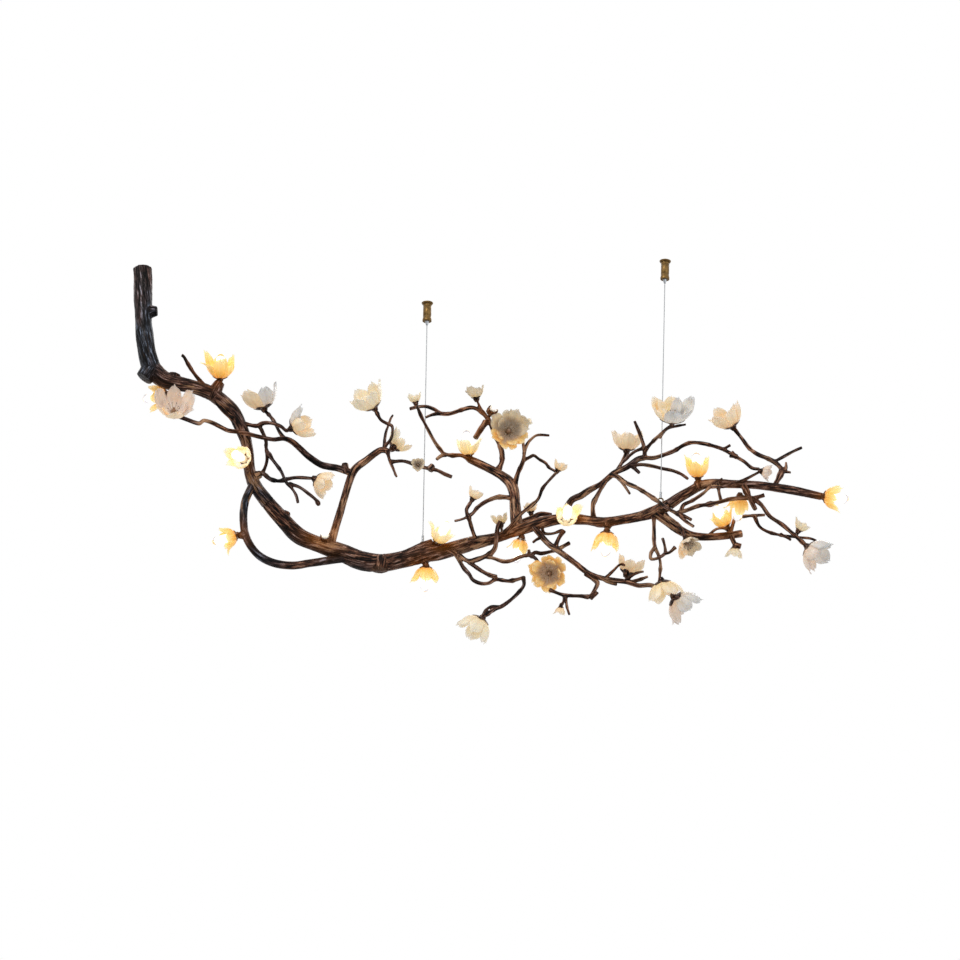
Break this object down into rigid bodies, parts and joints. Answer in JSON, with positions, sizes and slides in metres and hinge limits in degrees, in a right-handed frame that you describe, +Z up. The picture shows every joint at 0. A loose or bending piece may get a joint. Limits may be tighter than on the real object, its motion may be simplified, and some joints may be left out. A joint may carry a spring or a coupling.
{
  "type": "branch chandelier",
  "caption": "Long bough-shaped ceiling light in dark cast bronze, hung by its trunk and steel wires, with porcelain blossoms round capsule bulbs.",
  "frame": {"origin": "centre of the trunk's top face, on the ceiling", "axes": "+Z up, +X along the bough away from the trunk, +Y away from the viewer"},
  "size_m": [1.4394, 0.3736, 0.78],
  "materials": {
    "bark_bronze": "cast bark texture, dark brown patina with coppery highs",
    "cup_bronze": "reddish brown patina",
    "gripper_bronze": "antique bronze, satin",
    "steel": "satin",
    "porcelain": "thin translucent porcelain, soft gloss",
    "pistil_porcelain": "matt porcelain with stamens",
    "socket_ceramic": "matt white",
    "bulb_glass": "lit, warm white"
  },
  "bodies": {
    "bough": {"trunk": "bark_bronze", "main_limb_left": "bark_bronze", "main_limb_middle": "bark_bronze", "main_limb_right": "bark_bronze", "upper_fork": "bark_bronze", "lower_fork": "bark_bronze", "loop_limb": "bark_bronze", "bridge_limb": "bark_bronze", "left_limb": "bark_bronze", "crown_limb": "bark_bronze", "upper_right_limb": "bark_bronze", "lower_long_limb": "bark_bronze", "left_twigs": "bark_bronze", "bridge_twigs": "bark_bronze", "crown_twigs": "bark_bronze", "middle_twigs": "bark_bronze", "hanging_twigs": "bark_bronze", "upper_right_twigs": "bark_bronze", "fork_twigs": "bark_bronze", "lower_right_twigs": "bark_bronze", "trunk_bush": "steel", "ceiling_cap_left": "gripper_bronze", "ceiling_cap_right": "gripper_bronze", "gripper_barrel_left": "gripper_bronze", "gripper_barrel_right": "gripper_bronze", "collet_springs": "steel", "suspension_wire_left": "steel", "suspension_wire_right": "steel", "wire_ferrules": "steel", "limb_eyes": "gripper_bronze", "flower_cups": "cup_bronze", "lamp_sockets": "socket_ceramic", "flower_centres": "pistil_porcelain", "petals_elbow": "porcelain", "petals_left": "porcelain", "petals_crown": "porcelain", "petals_middle": "porcelain", "petals_right": "porcelain", "petals_far_right": "porcelain", "petals_upper": "porcelain"},
    "release_left": {"release_nipple_left": "steel", "grip_collet_left": "steel"},
    "release_right": {"release_nipple_right": "steel", "grip_collet_right": "steel"},
    "bulb_01": {"bulb_01": "bulb_glass"},
    "bulb_02": {"bulb_02": "bulb_glass"},
    "bulb_03": {"bulb_03": "bulb_glass"},
    "bulb_04": {"bulb_04": "bulb_glass"},
    "bulb_05": {"bulb_05": "bulb_glass"},
    "bulb_06": {"bulb_06": "bulb_glass"},
    "bulb_07": {"bulb_07": "bulb_glass"},
    "bulb_08": {"bulb_08": "bulb_glass"},
    "bulb_09": {"bulb_09": "bulb_glass"},
    "bulb_10": {"bulb_10": "bulb_glass"},
    "bulb_11": {"bulb_11": "bulb_glass"},
    "bulb_12": {"bulb_12": "bulb_glass"},
    "bulb_13": {"bulb_13": "bulb_glass"},
    "bulb_14": {"bulb_14": "bulb_glass"},
    "bulb_15": {"bulb_15": "bulb_glass"},
    "bulb_16": {"bulb_16": "bulb_glass"}
  },
  "joints": [
    {"name": "release_left_push", "type": "slide", "parent": "bough", "child": "release_left", "axis": [0, 0, 1], "range_m": [0, 0.0025], "stiffness_N_per_m": 600, "springref_m": -0.001},
    {"name": "release_right_push", "type": "slide", "parent": "bough", "child": "release_right", "axis": [0, 0, 1], "range_m": [0, 0.0025], "stiffness_N_per_m": 600, "springref_m": -0.001},
    {"name": "bulb_01_pull", "type": "slide", "parent": "bough", "child": "bulb_01", "axis": [0.0154, -0.6018, 0.7985], "range_m": [0, 0.011]},
    {"name": "bulb_02_pull", "type": "slide", "parent": "bough", "child": "bulb_02", "axis": [-0.9592, 0.2517, -0.1289], "range_m": [0, 0.011]},
    {"name": "bulb_03_pull", "type": "slide", "parent": "bough", "child": "bulb_03", "axis": [-0.411, -0.8961, -0.1675], "range_m": [0, 0.011]},
    {"name": "bulb_04_pull", "type": "slide", "parent": "bough", "child": "bulb_04", "axis": [-0.9465, -0.0031, -0.3227], "range_m": [0, 0.011]},
    {"name": "bulb_05_pull", "type": "slide", "parent": "bough", "child": "bulb_05", "axis": [-0.1233, -0.4816, 0.8677], "range_m": [0, 0.011]},
    {"name": "bulb_06_pull", "type": "slide", "parent": "bough", "child": "bulb_06", "axis": [-0.0156, 0.3255, -0.9454], "range_m": [0, 0.011]},
    {"name": "bulb_07_pull", "type": "slide", "parent": "bough", "child": "bulb_07", "axis": [0.4541, -0.6576, 0.601], "range_m": [0, 0.011]},
    {"name": "bulb_08_pull", "type": "slide", "parent": "bough", "child": "bulb_08", "axis": [0.0774, -0.9937, 0.0817], "range_m": [0, 0.011]},
    {"name": "bulb_09_pull", "type": "slide", "parent": "bough", "child": "bulb_09", "axis": [-0.2396, 0.4725, -0.8481], "range_m": [0, 0.011]},
    {"name": "bulb_10_pull", "type": "slide", "parent": "bough", "child": "bulb_10", "axis": [-0.0503, 0.325, -0.9444], "range_m": [0, 0.011]},
    {"name": "bulb_11_pull", "type": "slide", "parent": "bough", "child": "bulb_11", "axis": [-0.0875, -0.5719, 0.8156], "range_m": [0, 0.011]},
    {"name": "bulb_12_pull", "type": "slide", "parent": "bough", "child": "bulb_12", "axis": [0.9939, -0.0272, -0.1067], "range_m": [0, 0.011]},
    {"name": "bulb_13_pull", "type": "slide", "parent": "bough", "child": "bulb_13", "axis": [-0.0835, 0.6003, -0.7954], "range_m": [0, 0.011]},
    {"name": "bulb_14_pull", "type": "slide", "parent": "bough", "child": "bulb_14", "axis": [-0.4837, -0.462, 0.7434], "range_m": [0, 0.011]},
    {"name": "bulb_15_pull", "type": "slide", "parent": "bough", "child": "bulb_15", "axis": [-0.1238, -0.9608, 0.2479], "range_m": [0, 0.011]},
    {"name": "bulb_16_pull", "type": "slide", "parent": "bough", "child": "bulb_16", "axis": [0.3702, -0.866, 0.3362], "range_m": [0, 0.011]}
  ]
}
